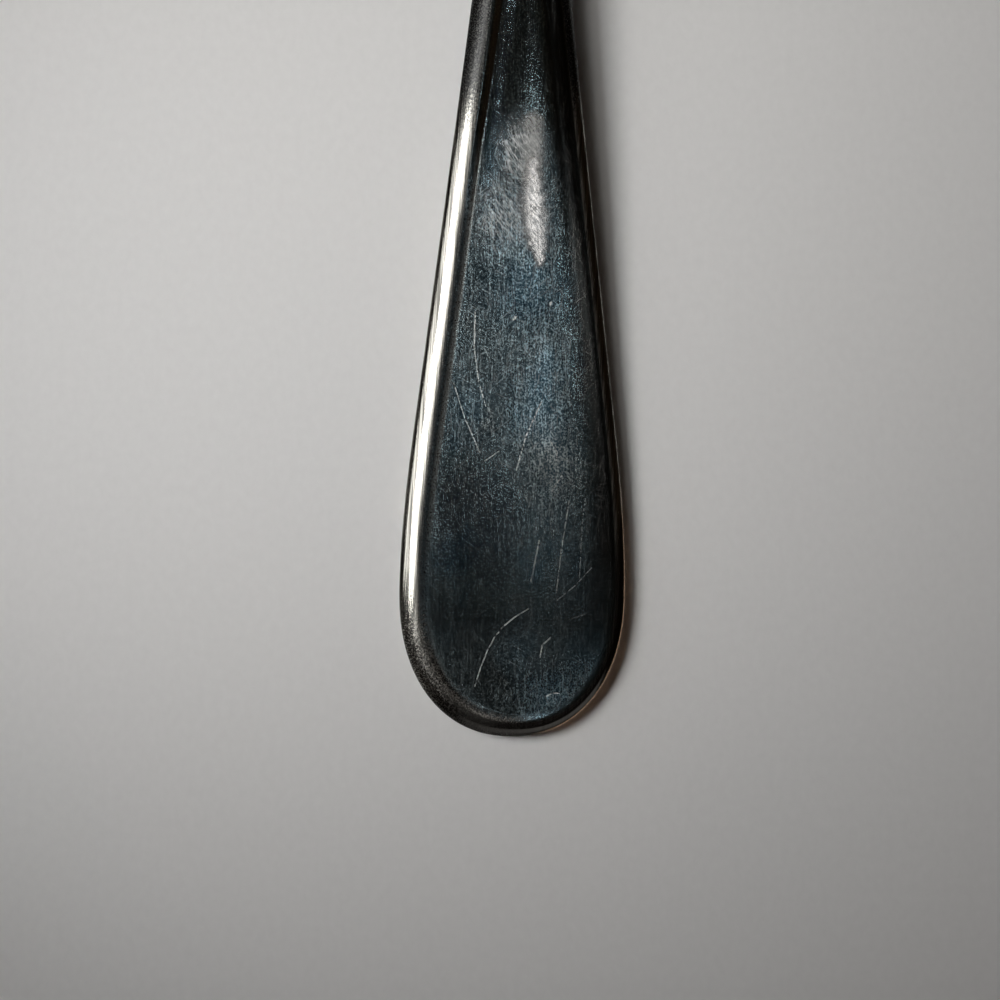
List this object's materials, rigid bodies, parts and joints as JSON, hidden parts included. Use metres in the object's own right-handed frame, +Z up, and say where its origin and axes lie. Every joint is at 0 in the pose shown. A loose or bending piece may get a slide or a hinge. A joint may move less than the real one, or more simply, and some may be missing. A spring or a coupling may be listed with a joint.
{
  "type": "serving spoon",
  "caption": "Long metal serving spoon with a wide rounded handle end, a raised border, a curved stem and an oval bowl brazed on a drop.",
  "frame": {"origin": "on the table below the middle of the spoon's length and width", "axes": "+X to the right across the handle, +Y from the end of the handle to the tip of the bowl, +Z up"},
  "size_m": [0.046, 0.215, 0.0165],
  "materials": {
    "spoon_metal": "worn polish with fine scratches",
    "braze_metal": "filed flush"
  },
  "bodies": {
    "root": {"handle": "spoon_metal", "bowl": "spoon_metal", "braze": "braze_metal"}
  },
  "joints": []
}
